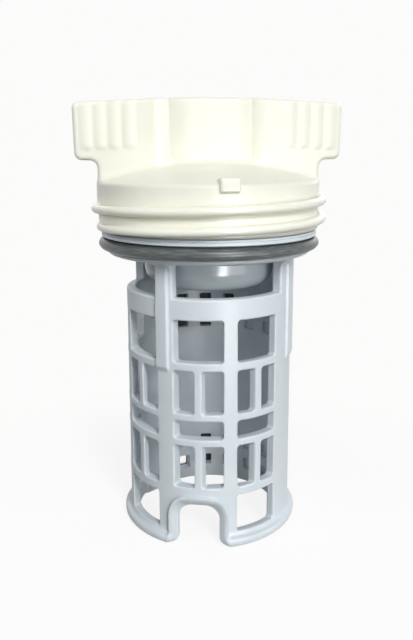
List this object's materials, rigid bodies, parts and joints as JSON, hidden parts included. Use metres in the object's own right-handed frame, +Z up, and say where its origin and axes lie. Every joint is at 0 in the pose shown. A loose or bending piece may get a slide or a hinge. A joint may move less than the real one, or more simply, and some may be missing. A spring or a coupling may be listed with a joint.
{
  "type": "drain pump filter",
  "caption": "Drain pump filter of a washing machine: screw cap with a grip bar, rubber seal ring and a lattice strainer with a closed plug.",
  "frame": {"origin": "centre of the foot's lower plane, at the bottom of the bounding box", "axes": "+Z up along the axis, from the strainer's foot to the cap's grip bar; the grip bar runs along X; -Y is the front, where the stop lug is"},
  "size_m": [0.0624, 0.0554, 0.1032],
  "materials": {
    "strainer": "satin light blue-grey moulding",
    "seal_ring": "dark grey rubber, slightly wet look",
    "cap": "satin ivory white moulding"
  },
  "bodies": {
    "root": {"strainer": "strainer", "seal_ring": "seal_ring", "cap": "cap"}
  },
  "joints": []
}
